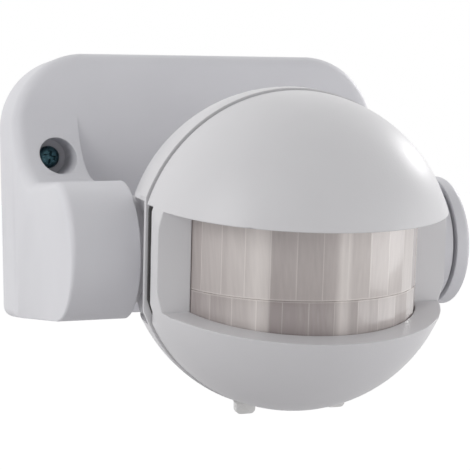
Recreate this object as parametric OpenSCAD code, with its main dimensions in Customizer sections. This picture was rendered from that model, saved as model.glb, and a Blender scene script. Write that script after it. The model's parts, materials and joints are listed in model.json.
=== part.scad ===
// Wall-mounted movement sensor: a hollow bracket with two arms carries a round head
// that tilts about a level axis. Millimetres, +Z up, the front faces -Y, and the
// origin is the middle of the back outline, on the wall.

/* [Bracket] */
// Width across the arms
base_w = 104.4; // [100:0.2:112]
// Height of the back outline
base_h = 71; // [70:1:76]
// Distance from the wall to the flat front face
face_depth = 18.4; // [17:0.2:20]
// Radius of the two upper corners
corner_r = 20; // [14:1:24]
// Radius of the two lower corners
foot_r = 3; // [1:0.5:5]
// Rounding of the front face's edge
edge_r = 3.6; // [2:0.2:4]
// Wall thickness of the bracket
bracket_wall = 2.2; // [1.8:0.1:2.6]

/* [Arms] */
// Distance from the wall to the tilt axis
pivot_reach = 58.7; // [57:0.1:62]
// Drop of the tilt axis below the middle of the back outline
pivot_drop = 15.5; // [14:0.5:17]
// Radius of each arm's round front end
arm_r = 16.6; // [16:0.2:17.4]
// Distance between the arms' inner faces
arm_gap = 69.8; // [69.6:0.1:70.6]
// Radius of the hollow curve above each arm
fillet_r = 19; // [15:1:21]
// Slope of the underside, in degrees
underside_slope = 3.2; // [2:0.1:4]

/* [Head] */
// Radius of the head's rear shell
head_r = 38; // [37.8:0.1:38.2]
// Radius of the front dome
dome_r = 37.6; // [37.4:0.1:37.7]
// Distance of the head's centre in front of the tilt axis
head_ahead = 19.7; // [19.5:0.1:20.5]
// Tilt of the head at rest, nose down, in degrees
rest_tilt = 7.3; // [0:0.1:10]
// Wall thickness of the head's shells
shell_wall = 2.2; // [2:0.1:2.4]
// Half width over the head's flat sides
flat_x = 35.7; // [35.4:0.1:36]
// Width of the groove between the two shells
groove_w = 0.8; // [0.6:0.1:1]

/* [Window and lens] */
// Distance of the window's back wall in front of the head's centre
window_back = 12.3; // [11.5:0.1:13]
// Height of the window's upper edge at its back wall
window_top = 11; // [10:0.1:12]
// Depth of the window's lower edge at its back wall
window_bottom = 11.7; // [11:0.1:12.5]
// Outer radius of the curved lens
lens_r = 29.2; // [28.5:0.1:29.4]
// Thickness of the lens
lens_wall = 0.9; // [0.7:0.1:1]

/* [Knobs] */
// Sideways place of the time knob
time_x = -8.5; // [-10:0.5:-7]
// Sideways place of the light-level knob
lux_x = 15; // [13:0.5:15]
// Length of a knob's blade below the shell
knob_reach = 40.3; // [39.8:0.1:41]

/* [Hidden] */
$fn = 96;

eps = 0.01;
slab_t = 0.2;
pivot_y = -pivot_reach;
pivot_z = -pivot_drop;
pivot = [pivot_y, pivot_z];
half_w = base_w / 2;
half_h = base_h / 2;
arm_in = arm_gap / 2;

// Housing screws, deep in round recesses above the arms
screw_x = 41.4;
screw_z = 8;
recess_r = 4.9;
recess_seat = 10;
boss_r = 7;
shank_hole_r = 2;
plate_t = 3;
plate_gap = 0.25;
wall_hole_x = 28;
wall_hole_r = 2.25;
wall_hole_z = 22;
entry_z = -12;
entry_r = 7;
grommet_bore_r = 4;

// Terminal block on the wall plate
block_w = 33;
block_h = 17;
block_d = 11;
block_z = 12;
pole_pitch = 10;
poles = [-pole_pitch, 0, pole_pitch];
lead_r = 1.0;
lead_y = -plate_t - block_d + 5.6;
lead_colors = ["saddlebrown", "royalblue", "firebrick"];

// Head, in its own frame: centre of the rear shell at 0, pivot behind and below it
pivot_hy = head_ahead * cos(rest_tilt);
pivot_hz = -head_ahead * sin(rest_tilt);
dome_y = -3;
front_rim = -3.4;
rear_rim = front_rim + groove_w;
cheek_x = 32.4;
cheek_top = 12;
cheek_bottom = -16.5;
step_x = 34;
back_cut = 30;
collar_r = 13;
collar_x = 34.6;
trunnion_r = 7;
trunnion_bore = 4.5;
trunnion_end = 43.5;
running_gap = 0.08;
nut_r = 10.5;
post_x = 24;
post_z = 20.5;
post_r = 4.2;
rear_post_r = 4.4;
post_seat = 14;
knob_y = 2.5;
knob_stem_r = 2.5;
knob_pad_top = -29;
trimmer_top = -20.4;
trimmer_bottom = -25.4;
visor_slope = 0.05;
ledge_slope = 0.117;
window_far = 60;
window_lip = 2;
lens_y = dome_y;
lens_gap = 0.15;
lens_high = 12.6;
lens_low = -15.8;
board_y = 8;
board_t = 1.6;
sensor_board_y = -2;
board_screw_x = 26.5;
board_screw_z = 9;
spacer_x = 10.5;
spacer_z = 7.5;

function arc(c, r, a0, a1, n = 16) =
    [for (i = [0:n]) let (a = a0 + (a1 - a0) * i / n) c + r * [cos(a), sin(a)]];

// Corner of the back outline, inset by d
function corner(sx, sz, r, a, d) =
    let (rr = max(r - d, 0.2))
    arc([sx * (half_w - d - rr), sz * (half_h - d - rr)], rr, a, a + 90, 12);

function outline(d = 0) = concat(
    corner(1, 1, corner_r, 0, d), corner(-1, 1, corner_r, 90, d),
    corner(-1, -1, foot_r, 180, d), corner(1, -1, foot_r, 270, d));

// Height of the sloping underside at depth y, inset by d
function underside(y, d = 0) =
    let (a = 270 - underside_slope, r = arm_r - d)
    pivot_z + r * sin(a) - (y - pivot_y - r * cos(a)) * tan(underside_slope);

// Side view of an arm with the hollow curve above it, inset by d, ending at y_end
function arm_profile(d, y_end) = concat(
    arc(pivot, arm_r - d, 90, 270 - underside_slope, 24),
    [[y_end, underside(y_end, d)], [y_end, pivot_z + arm_r + fillet_r]],
    arc([-face_depth - fillet_r, pivot_z + arm_r + fillet_r], fillet_r + d, 0, -90, 16));

// Side view of the back box, inset by d
function box_profile(d) = [
    [2, half_h + 2], [-face_depth - 2, half_h + 2],
    [-face_depth - 2, underside(-face_depth - 2, d)], [2, underside(2, d)]];

module side_slab(x0, x1, points) {
    translate([x0, 0, 0]) rotate([90, 0, 90]) linear_extrude(x1 - x0) polygon(points);
}

module upright(y0, y1, points) {
    translate([0, y1, 0]) rotate([90, 0, 0]) linear_extrude(y1 - y0) polygon(points);
}

module along_y(y0, y1, r, x = 0, z = 0) {
    translate([x, y1, z]) rotate([90, 0, 0]) cylinder(h = y1 - y0, r = r);
}

module along_x(x0, x1, r, y = 0, z = 0) {
    translate([x0, y, z]) rotate([0, 90, 0]) cylinder(h = x1 - x0, r = r);
}

module along_z(z0, z1, r, x = 0, y = 0) {
    translate([x, y, z0]) cylinder(h = z1 - z0, r = r);
}

module box(x0, x1, y0, y1, z0, z1) {
    translate([x0, y0, z0]) cube([x1 - x0, y1 - y0, z1 - z0]);
}

module both_sides() {
    children();
    mirror([1, 0, 0]) children();
}

module on_head() {
    translate([0, pivot_y - head_ahead, pivot_z]) rotate([rest_tilt, 0, 0]) children();
}

module at_posts() {
    for (x = [-post_x, post_x], z = [-post_z, post_z]) translate([x, 0, z]) children();
}

// ---- bracket ----

module back_box() {
    intersection() {
        hull() {
            for (i = [0:4]) {
                a = 90 * i / 4;
                depth = face_depth - edge_r * (1 - sin(a));
                upright(-depth, -depth + slab_t, outline(edge_r * (1 - cos(a))));
            }
            upright(-slab_t, 0, outline());
        }
        side_slab(-half_w - 1, half_w + 1, box_profile(0));
    }
}

// Takes the outer edge of the hollow curve away, so that the front rounding runs on along it
module hollow_edge() {
    top = pivot_z + arm_r + fillet_r;
    intersection() {
        translate([0, -face_depth - fillet_r, top]) rotate([0, 90, 0]) rotate_extrude() difference() {
            translate([fillet_r - 2, half_w - edge_r]) square([edge_r + 2, edge_r + 2]);
            translate([fillet_r + edge_r - eps, half_w - edge_r - eps]) circle(edge_r);
        }
        box(0, half_w + 5, -face_depth - fillet_r, 0, 0 - 10, top + 1);
    }
}

module bracket_solid() {
    back_box();
    intersection() {
        both_sides() difference() {
            side_slab(arm_in, half_w, arm_profile(0, 0));
            hollow_edge();
        }
        upright(-pivot_reach - arm_r - 1, 0, outline());
    }
}

module bracket_cavity() {
    intersection() {
        upright(-face_depth + bracket_wall, 1, outline(bracket_wall));
        side_slab(-half_w, half_w, box_profile(bracket_wall));
    }
    both_sides()
        side_slab(arm_in + bracket_wall, half_w - bracket_wall, arm_profile(bracket_wall, -1));
}

module bracket_housing() {
    color("whitesmoke") difference() {
        union() {
            difference() {
                bracket_solid();
                bracket_cavity();
            }
            intersection() {
                bracket_solid();
                both_sides() along_y(-face_depth - fillet_r, -7.8, boss_r, screw_x, screw_z);
            }
        }
        both_sides() {
            along_y(-face_depth - 30, -recess_seat, recess_r, screw_x, screw_z);
            along_y(-recess_seat - 1, 0, shank_hole_r, screw_x, screw_z);
            along_x(arm_in - 1, arm_in + bracket_wall + 1, trunnion_r + running_gap, pivot_y, pivot_z);
        }
    }
}

module wall_plate() {
    d = bracket_wall + plate_gap;
    color("gainsboro") difference() {
        union() {
            intersection() {
                upright(-plate_t, 0, outline(d));
                side_slab(-half_w, half_w, box_profile(d));
            }
            both_sides() along_y(-7.5, -plate_t + 1, 4.5, screw_x, screw_z);
            both_sides() along_y(-5.4, -plate_t + 1, 3, 12, entry_z - 11);
        }
        both_sides() along_y(-8, 1, 1.4, screw_x, screw_z);
        both_sides() along_y(-6, 1, 1.1, 12, entry_z - 11);
        both_sides() along_y(-plate_t - 1, 1, wall_hole_r, wall_hole_x, wall_hole_z);
        along_y(-plate_t - 1, 1, entry_r, 0, entry_z);
    }
}

// Pan head with a cross recess, its seat at y 0 and its shank towards +Y
module pan_screw(head_r, head_t, shank_r, shank_l) {
    difference() {
        union() {
            along_y(-head_t, 0, head_r);
            along_y(-eps, shank_l, shank_r);
        }
        for (a = [0, 90])
            translate([0, -head_t, 0]) rotate([0, a, 0])
                cube([head_r * 1.15, head_t * 1.2, head_r * 0.3], center = true);
    }
}

module housing_screws() {
    color("steelblue")
        both_sides() translate([screw_x, -recess_seat, screw_z]) pan_screw(3, 2.2, 1.5, 9);
}

module cable_grommet() {
    color("dimgray") difference() {
        union() {
            along_y(-plate_t - 2.2, -plate_t, entry_r + 2, 0, entry_z);
            along_y(-plate_t - 1, 0, entry_r + 0.05, 0, entry_z);
        }
        along_y(-plate_t - 3, 1, grommet_bore_r, 0, entry_z);
    }
}

module cable_clamp() {
    color("gainsboro") difference() {
        box(-16, 16, -8.4, -5.4, entry_z - 14.5, entry_z - 7.5);
        both_sides() along_y(-9, -5, 1.7, 12, entry_z - 11);
        along_z(entry_z - 15, entry_z - 7, 3, 0, -4.4);
    }
}

module clamp_screws() {
    color("silver")
        both_sides() translate([12, -8.4, entry_z - 11]) pan_screw(2.8, 1.8, 1.2, 7);
}

module terminal_block() {
    front = -plate_t - block_d;
    color("ivory") difference() {
        union() {
            box(-block_w / 2, block_w / 2, front, -plate_t, block_z - block_h / 2, block_z + block_h / 2);
            for (x = [-15.75, -5, 5, 15.75])
                box(x - 0.75, x + 0.75, front - 1, front + 1, block_z - block_h / 2, block_z + block_h / 2);
        }
        for (x = poles) {
            translate([x, front + 5, block_z]) cube([6.8, 6.8, block_h + 2], center = true);
            for (s = [-4.6, 4.6]) along_y(front - 1, front + 2, 2.2, x, block_z + s);
        }
    }
}

module terminal_clamps() {
    front = -plate_t - block_d;
    color("goldenrod") for (x = poles) difference() {
        box(x - 3.2, x + 3.2, front + 1.8, front + 8.2, block_z - 7.5, block_z + 7.5);
        along_z(block_z - 8, block_z + 8, 1.7, x, front + 5.6);
        for (s = [-4.6, 4.6]) along_y(front + 1, front + 4, 1.3, x, block_z + s);
    }
}

module terminal_screws() {
    front = -plate_t - block_d;
    color("silver") for (x = poles, s = [-4.6, 4.6])
        translate([x, front + 1.5, block_z + s]) difference() {
            union() {
                along_y(-1.6, 0, 1.9);
                along_y(-eps, 2.4, 1.4);
            }
            cube([2.6, 1.4, 0.5], center = true);
            translate([0, -1.6, 0]) cube([3, 1.2, 0.6], center = true);
        }
}

// A lead through a list of points
module lead(points, r = lead_r) {
    for (i = [1:len(points) - 1]) hull() {
        translate(points[i - 1]) sphere(r, $fn = 8);
        translate(points[i]) sphere(r, $fn = 8);
    }
}

// Three insulated leads: from the block down the left arm to the hollow trunnion's mouth
module bracket_leads() {
    for (i = [0:2]) {
        x = poles[i];
        z = block_z - block_h / 2 - 6 - 2.6 * (2 - i);
        turn_x = -trunnion_end - 3.1 - 1.6 * (i - 1);
        color(lead_colors[i]) lead([
            [x, lead_y, block_z - 4], [x, lead_y, z], [turn_x, lead_y, z],
            [turn_x, pivot_y + 2.5 * (i - 1), pivot_z + (i == 1 ? 1.6 : -1)]]);
    }
}

// ---- head, all modules below are in the head's own frame ----

// Ball with its poles at the front and back
module ball(r) {
    rotate([-90, -90, 0]) sphere(r);
}

module dome_ball(r) {
    translate([0, dome_y, 0]) ball(r);
}

// The window's wedge-shaped opening, grown by d
module window_wedge(d) {
    reach = window_far - window_back;
    side_slab(-50, 50, [
        [-window_back + d, window_top + d],
        [-window_far, window_top - visor_slope * reach + d],
        [-window_far, -window_bottom - ledge_slope * reach - d],
        [-window_back + d, -window_bottom - d]]);
}

module front_shell() {
    color("whitesmoke") difference() {
        union() {
            difference() {
                dome_ball(dome_r);
                intersection() {
                    dome_ball(dome_r - shell_wall);
                    box(-33.6, 33.6, -50, 10, -50, 50);
                }
            }
            intersection() {
                dome_ball(dome_r - shell_wall / 2);
                difference() {
                    window_wedge(window_lip);
                    along_z(-50, 50, lens_r + lens_gap, 0, lens_y);
                }
            }
            intersection() {
                dome_ball(dome_r - shell_wall / 2);
                at_posts() along_y(-26, front_rim, post_r);
            }
        }
        window_wedge(0);
        box(-50, 50, front_rim, 50, -50, 50);
        both_sides() box(flat_x, 50, -50, 50, -50, 50);
        at_posts() along_y(-16, 0, 1.3);
    }
}

module rear_cavity() {
    difference() {
        intersection() {
            ball(head_r - shell_wall);
            box(-31.8, 31.8, -50, back_cut - shell_wall, -50, 50);
        }
        both_sides()
            box(cheek_x - shell_wall, 50, -50, 50, cheek_bottom - shell_wall, cheek_top + shell_wall);
    }
}

module rear_shell() {
    color("whitesmoke") difference() {
        union() {
            difference() {
                intersection() {
                    ball(head_r);
                    box(-flat_x, flat_x, rear_rim, back_cut, -50, 50);
                }
                rear_cavity();
                both_sides() {
                    box(cheek_x, 50, rear_rim + 1.2, 50, cheek_bottom, cheek_top);
                    box(step_x, 50, 1, 50, -50, 50);
                }
            }
            both_sides() {
                along_x(cheek_x - 1, collar_x, collar_r, pivot_hy, pivot_hz);
                along_x(collar_x - 1, trunnion_end, trunnion_r, pivot_hy, pivot_hz);
            }
            intersection() {
                ball(head_r - shell_wall / 2);
                union() {
                    at_posts() along_y(rear_rim, 27, rear_post_r);
                    for (x = [time_x, lux_x]) along_z(-36.5, knob_pad_top, 5, x, knob_y);
                    both_sides() along_y(board_y + board_t, 27, 3.2, board_screw_x, board_screw_z);
                }
            }
        }
        both_sides() along_x(25, 50, trunnion_bore, pivot_hy, pivot_hz);
        at_posts() {
            along_y(post_seat, 40, 3.2);
            along_y(-10, post_seat + 1, 1.7);
        }
        both_sides() along_y(board_y, board_y + board_t + 7, 1, board_screw_x, board_screw_z);
        for (x = [time_x, lux_x]) along_z(-45, -25, knob_stem_r + running_gap, x, knob_y);
    }
}

module shell_seal() {
    color("dimgray") intersection() {
        difference() {
            along_y(front_rim, rear_rim, 36.5);
            along_y(front_rim - 1, rear_rim + 1, 34.6);
        }
        box(-35, 35, -10, 10, -50, 50);
    }
}

module friction_washers() {
    color("silver") both_sides() difference() {
        along_x(arm_in + bracket_wall + 0.3, arm_in + bracket_wall + 1.2, 9.6, pivot_hy, pivot_hz);
        along_x(30, 50, trunnion_r + 0.02, pivot_hy, pivot_hz);
    }
}

module trunnion_nuts() {
    x0 = arm_in + bracket_wall + 1.2;
    color("gainsboro") both_sides() difference() {
        along_x(x0, x0 + 3.6, nut_r, pivot_hy, pivot_hz);
        along_x(30, 50, trunnion_r + 0.02, pivot_hy, pivot_hz);
        for (a = [0:60:300])
            translate([x0 + 1.8, pivot_hy, pivot_hz]) rotate([a, 0, 0]) translate([0, nut_r, 0])
                cube([5, 1.6, 4], center = true);
    }
}

module fresnel_lens() {
    color("linen") intersection() {
        difference() {
            along_z(lens_low, lens_high, lens_r, 0, lens_y);
            along_z(lens_low - 1, lens_high + 1, lens_r - lens_wall, 0, lens_y);
        }
        box(-50, 50, -50, -8.5, -50, 50);
    }
}

module lens_retainer() {
    outer = lens_r - lens_wall - 0.1;
    color("gainsboro") difference() {
        intersection() {
            along_z(lens_low, lens_high, outer, 0, lens_y);
            box(-50, 50, -50, -6.5, -50, 50);
        }
        along_z(lens_low - 1, lens_high + 1, outer - 1.8, 0, lens_y);
        box(-24.5, 24.5, -50, 0, lens_low + 2, lens_high - 2);
    }
}

module sensor_board() {
    color("darkgreen") difference() {
        box(-13, 13, sensor_board_y, sensor_board_y + board_t, -10, 10);
        both_sides() along_y(-5, 5, 1.1, spacer_x, spacer_z);
    }
}

module board_spacers() {
    color("whitesmoke") both_sides() difference() {
        along_y(sensor_board_y + board_t, board_y, 2.2, spacer_x, spacer_z);
        along_y(-5, 10, 0.7, spacer_x, spacer_z);
    }
}

module pir_sensor() {
    color("silver") {
        along_y(sensor_board_y - 4.2, sensor_board_y - 0.5, 4.1);
        along_y(sensor_board_y - 0.6, sensor_board_y, 4.7);
        for (a = [30, 150, 270])
            along_y(sensor_board_y - eps, sensor_board_y + board_t + 1, 0.25, 2.5 * cos(a), 2.5 * sin(a));
    }
}

module pir_window() {
    color("dimgray") box(-2, 2, sensor_board_y - 4.5, sensor_board_y - 4.2, -1.5, 1.5);
}

module sensor_shroud() {
    color("whitesmoke") difference() {
        box(-9, 9, sensor_board_y - 7, sensor_board_y, -7, 7);
        box(-7.8, 7.8, sensor_board_y - 5.8, sensor_board_y + 1, -5.8, 5.8);
        box(-5.5, 5.5, sensor_board_y - 8, sensor_board_y, -4, 4);
    }
}

module light_sensor() {
    color("tomato") {
        along_y(sensor_board_y - 2, sensor_board_y, 1.8, -11, -5.5);
        for (s = [-1.2, 1.2])
            along_y(sensor_board_y - eps, sensor_board_y + board_t + 1, 0.25, -11 + s, -5.5);
    }
}

module board_header() {
    color("darkslategray") {
        box(4, 12, sensor_board_y + board_t, board_y, -9, -6.4);
        for (x = [5, 7.5, 10]) box(x, x + 0.6, sensor_board_y - 0.8, board_y + board_t + 0.8, -8, -7.4);
    }
}

module main_board() {
    color("darkgreen") difference() {
        intersection() {
            along_y(board_y, board_y + board_t, 32.4);
            box(-29.6, 29.6, 0, 20, -27.5, 27.5);
        }
        at_posts() along_y(0, 20, rear_post_r + 0.8);
        both_sides() along_y(0, 20, 1.2, board_screw_x, board_screw_z);
    }
}

module relay() {
    color("navy") {
        box(-4, 15, board_y + board_t, board_y + board_t + 15, -4, 11.4);
        for (x = [-1, 5], z = [0, 8]) along_y(board_y - 1, board_y + board_t + eps, 0.4, x, z);
    }
}

module film_capacitor() {
    color("gold") {
        box(-22.5, -6.5, board_y + board_t + 0.4, board_y + board_t + 11, 1, 8);
        for (x = [-20, -9]) along_y(board_y - 1, board_y + board_t + 0.5, 0.35, x, 4.5);
    }
}

module smoothing_capacitor() {
    color("black") {
        along_y(board_y + board_t + 0.3, board_y + board_t + 12, 4, -11, -14);
        for (s = [-1.25, 1.25]) along_y(board_y - 1, board_y + board_t + 0.4, 0.3, -11 + s, -14);
    }
}

module varistor() {
    color("dodgerblue") {
        translate([8, board_y + board_t + 6, -14]) rotate([0, 0, 90]) along_y(-1.8, 1.8, 5);
        for (s = [-2.5, 2.5]) along_y(board_y - 1, board_y + board_t + 2.5, 0.35, 8, -14 + s);
    }
}

module board_diodes() {
    color("black") for (i = [0:3]) {
        x = -4 + 4 * i;
        along_z(17, 21.5, 1.3, x, board_y + board_t + 1.6);
        for (z = [15.6, 22.9]) {
            along_y(board_y - 0.8, board_y + board_t + 1.9, 0.3, x, z);
            along_z(min(z, 17.5), max(z, 21), 0.3, x, board_y + board_t + 1.6);
        }
    }
}

module trimmer_bodies() {
    color("royalblue") for (x = [time_x, lux_x]) difference() {
        box(x - 4.4, x + 4.4, knob_y - 3.6, board_y, trimmer_bottom, trimmer_top);
        along_z(trimmer_bottom - 1, trimmer_top - 1.5, 1.5 + running_gap, x, knob_y);
    }
}

module board_screws() {
    color("silver") {
        both_sides() translate([board_screw_x, board_y, board_screw_z]) pan_screw(2.4, 1.6, 1.1, 6);
        both_sides() translate([spacer_x, sensor_board_y, spacer_z]) pan_screw(1.6, 1, 0.8, 5);
    }
}

module shell_screws() {
    color("silver") at_posts() translate([0, post_seat, 0]) rotate([180, 0, 0]) pan_screw(2.9, 2, 1.4, 28);
}

// Leads from the trunnion's mouth to the main board
module head_leads() {
    for (i = [0:2]) {
        y = pivot_hy + 2.4 * (i - 1);
        z = pivot_hz + (i == 1 ? 1.4 : -0.8);
        color(lead_colors[i]) lead([
            [-41, y, z], [-27.5 + 1.2 * i, y, z],
            [-25 + 1.2 * i, board_y + board_t + 0.8, -7 - 2.4 * i]], lead_r * 0.8);
    }
}

module knob_seals() {
    color("dimgray") for (x = [time_x, lux_x]) difference() {
        along_z(knob_pad_top, knob_pad_top + 1, 4.4, x, knob_y);
        along_z(knob_pad_top - 1, knob_pad_top + 2, knob_stem_r + 0.1, x, knob_y);
    }
}

// Turning knob at x: a stem through the shell, a collar inside and a blade to grip
module knob(x) {
    color("white") translate([x, knob_y, 0]) {
        along_z(-37.4, knob_pad_top + 1.3, knob_stem_r);
        along_z(knob_pad_top + 1.2, trimmer_bottom - 0.4, 3.6);
        along_z(trimmer_bottom - 0.5, trimmer_top - 1.8, 1.5);
        intersection() {
            along_z(-knob_reach, -37.2, knob_stem_r);
            box(-knob_stem_r, knob_stem_r, -1.1, 1.1, -50, 0);
        }
    }
}

module time_knob() {
    knob(time_x);
}

module lux_knob() {
    knob(lux_x);
}

bracket_housing();
wall_plate();
housing_screws();
cable_grommet();
cable_clamp();
clamp_screws();
terminal_block();
terminal_clamps();
terminal_screws();
bracket_leads();
on_head() friction_washers();
on_head() trunnion_nuts();
on_head() rear_shell();
on_head() front_shell();
on_head() shell_seal();
on_head() fresnel_lens();
on_head() lens_retainer();
on_head() sensor_board();
on_head() board_spacers();
on_head() pir_sensor();
on_head() pir_window();
on_head() sensor_shroud();
on_head() light_sensor();
on_head() board_header();
on_head() main_board();
on_head() relay();
on_head() film_capacitor();
on_head() smoothing_capacitor();
on_head() varistor();
on_head() board_diodes();
on_head() trimmer_bodies();
on_head() board_screws();
on_head() shell_screws();
on_head() head_leads();
on_head() knob_seals();
on_head() time_knob();
on_head() lux_knob();
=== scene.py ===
import json
import math
import bpy
from mathutils import Matrix, Vector


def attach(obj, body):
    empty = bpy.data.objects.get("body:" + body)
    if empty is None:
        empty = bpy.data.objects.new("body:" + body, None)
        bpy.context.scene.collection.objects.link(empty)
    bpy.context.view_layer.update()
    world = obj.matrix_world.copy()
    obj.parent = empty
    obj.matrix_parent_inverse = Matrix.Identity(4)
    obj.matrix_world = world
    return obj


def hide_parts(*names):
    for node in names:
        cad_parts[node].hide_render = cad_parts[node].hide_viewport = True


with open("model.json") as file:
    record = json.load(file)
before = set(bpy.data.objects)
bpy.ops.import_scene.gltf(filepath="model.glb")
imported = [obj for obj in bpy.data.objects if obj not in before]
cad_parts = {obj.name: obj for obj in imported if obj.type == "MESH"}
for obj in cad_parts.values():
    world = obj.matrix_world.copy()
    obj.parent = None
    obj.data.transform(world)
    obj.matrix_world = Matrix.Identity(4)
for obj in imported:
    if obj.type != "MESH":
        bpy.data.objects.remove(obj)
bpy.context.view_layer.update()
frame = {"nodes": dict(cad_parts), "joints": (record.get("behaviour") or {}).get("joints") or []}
print("frame loaded:", len(frame["nodes"]), "CAD nodes")

mm = 0.001

# where things are: the tilt axis comes from the frame, the head hangs in front of it
tiltJoint = [j for j in frame["joints"] if j["name"] == "head_tilt"][0]
tiltAxis = Vector(tiltJoint["pos_m"])
place = {
    "headAhead": 19.7 * mm,     # head centre in front of the tilt axis
    "restTilt": 7.3,            # nose down, degrees
}
headCentre = tiltAxis - Vector((0, place["headAhead"], 0))
headMatrix = Matrix.Translation(headCentre) @ Matrix.Rotation(math.radians(place["restTilt"]), 4, "X")


# ---------- small modelling helpers ----------

def deselectAll():
    for obj in bpy.context.selected_objects:
        obj.select_set(False)


def pick(obj):
    deselectAll()
    obj.select_set(True)
    bpy.context.view_layer.objects.active = obj


def start(name):
    # the primitive just added becomes the piece, alone in the selection
    piece = bpy.context.active_object
    piece.name = name
    piece.data.name = name
    pick(piece)
    return piece


def settle(piece):
    # the place, turn and size go into the mesh, so the object sits at the origin
    pick(piece)
    bpy.ops.object.transform_apply(location=True, rotation=True, scale=True)
    return piece


def addBlock(name, low, high):
    deselectAll()
    low, high = Vector(low), Vector(high)
    bpy.ops.mesh.primitive_cube_add(size=1, location=(low + high) / 2 * mm)
    piece = start(name)
    piece.scale = (high - low) * mm
    return settle(piece)


def addRod(name, axis, low, high, radius, centre, sides=96, turn=0):
    # a round bar along x, y or z; centre holds the two other coordinates
    deselectAll()
    middle = (low + high) / 2
    spots = {"x": (middle, *centre), "y": (centre[0], middle, centre[1]), "z": (*centre, middle)}
    turns = {"x": (0, math.pi / 2, 0), "y": (math.pi / 2, 0, 0), "z": (0, 0, math.radians(turn))}
    bpy.ops.mesh.primitive_cylinder_add(
        vertices=sides, radius=radius * mm, depth=(high - low) * mm,
        location=Vector(spots[axis]) * mm, rotation=turns[axis])
    return settle(start(name))


def addBall(name, radii, y=0, around=144, along=96):
    # a ball with its poles at the front and back
    deselectAll()
    bpy.ops.mesh.primitive_uv_sphere_add(
        segments=around, ring_count=along, radius=mm, location=(0, y * mm, 0), rotation=(math.pi / 2, 0, 0))
    piece = start(name)
    piece.scale = (radii[0], radii[2], radii[1])
    return settle(piece)


def combine(piece, tool, operation):
    # UNION, DIFFERENCE or INTERSECT, and the tool is used up
    pick(piece)
    modifier = piece.modifiers.new("combine", "BOOLEAN")
    modifier.operation = operation
    modifier.solver = "EXACT"
    modifier.object = tool
    bpy.ops.object.modifier_apply(modifier="combine")
    bpy.data.objects.remove(tool)
    return piece


def cutOff(piece, point, normal):
    # bisect, dropping what lies on the normal's side and closing the cut
    pick(piece)
    bpy.ops.object.mode_set(mode="EDIT")
    bpy.ops.mesh.select_all(action="SELECT")
    bpy.ops.mesh.bisect(plane_co=Vector(point) * mm, plane_no=normal, use_fill=True, clear_outer=True)
    bpy.ops.object.mode_set(mode="OBJECT")
    return piece


def bevelEdges(piece, chosen, offset, segments):
    # chosen(a, b) says from an edge's two ends, in mm, whether it is bevelled
    pick(piece)
    bpy.ops.object.mode_set(mode="EDIT")
    bpy.ops.mesh.select_mode(type="EDGE")
    bpy.ops.mesh.select_all(action="DESELECT")
    bpy.ops.object.mode_set(mode="OBJECT")
    points = piece.data.vertices
    for edge in piece.data.edges:
        a, b = (points[i].co / mm for i in edge.vertices)
        edge.select = bool(chosen(a, b))
    bpy.ops.object.mode_set(mode="EDIT")
    bpy.ops.mesh.bevel(offset=offset * mm, segments=segments, affect="EDGES", clamp_overlap=False)
    bpy.ops.object.mode_set(mode="OBJECT")
    return piece


def shift(piece, chosen, move):
    # moves the chosen corners in edit mode
    pick(piece)
    bpy.ops.object.mode_set(mode="EDIT")
    bpy.ops.mesh.select_mode(type="VERT")
    bpy.ops.mesh.select_all(action="DESELECT")
    bpy.ops.object.mode_set(mode="OBJECT")
    for vertex in piece.data.vertices:
        vertex.select = bool(chosen(vertex.co / mm))
    bpy.ops.object.mode_set(mode="EDIT")
    bpy.ops.transform.translate(value=Vector(move) * mm)
    bpy.ops.object.mode_set(mode="OBJECT")
    return piece


def clean(piece, reach=0.02):
    # closes up the slivers that the cuts leave
    pick(piece)
    bpy.ops.object.mode_set(mode="EDIT")
    bpy.ops.mesh.select_all(action="SELECT")
    bpy.ops.mesh.remove_doubles(threshold=reach * mm)
    bpy.ops.mesh.dissolve_degenerate(threshold=reach * mm)
    bpy.ops.mesh.normals_make_consistent(inside=False)
    bpy.ops.object.mode_set(mode="OBJECT")
    return piece


def soften(piece, width, segments=2, angle=32, reach=0.02):
    # small moulded roundings on every crisp edge
    clean(piece, reach)
    modifier = piece.modifiers.new("soften", "BEVEL")
    modifier.width = width * mm
    modifier.segments = segments
    modifier.limit_method = "ANGLE"
    modifier.angle_limit = math.radians(angle)
    modifier.use_clamp_overlap = False
    modifier.harden_normals = False
    bpy.ops.object.modifier_apply(modifier="soften")
    bpy.ops.object.shade_smooth_by_angle(angle=math.radians(35))
    return piece


def smooth(piece, reach):
    # crisp geometry; the material rounds its edges
    clean(piece, reach)
    bpy.ops.object.shade_smooth_by_angle(angle=math.radians(35))
    return piece


def onHead(piece):
    # from the head's own frame to its place at rest
    piece.matrix_world = headMatrix
    return settle(piece)


def mirrored(piece):
    # adds the copy across the middle plane
    pick(piece)
    modifier = piece.modifiers.new("mirror", "MIRROR")
    modifier.use_axis = (True, False, False)
    modifier.use_mirror_merge = False
    bpy.ops.object.modifier_apply(modifier="mirror")
    return piece


# ---------- materials ----------

def newMaterial(name):
    material = bpy.data.materials.new(name)
    material.use_nodes = True
    nodes, links = material.node_tree.nodes, material.node_tree.links
    return material, nodes, links, nodes["Principled BSDF"]


def colourNoise(nodes, links, shader, coords, light, dark, scale, detail=4):
    noise = nodes.new("ShaderNodeTexNoise")
    noise.inputs["Scale"].default_value = scale
    noise.inputs["Detail"].default_value = detail
    links.new(coords.outputs["Object"], noise.inputs["Vector"])
    ramp = nodes.new("ShaderNodeValToRGB")
    ramp.color_ramp.elements[0].position = 0.3
    ramp.color_ramp.elements[0].color = (*dark, 1)
    ramp.color_ramp.elements[1].position = 0.7
    ramp.color_ramp.elements[1].color = (*light, 1)
    links.new(noise.outputs["Fac"], ramp.inputs["Fac"])
    links.new(ramp.outputs["Color"], shader.inputs["Base Color"])


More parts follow.
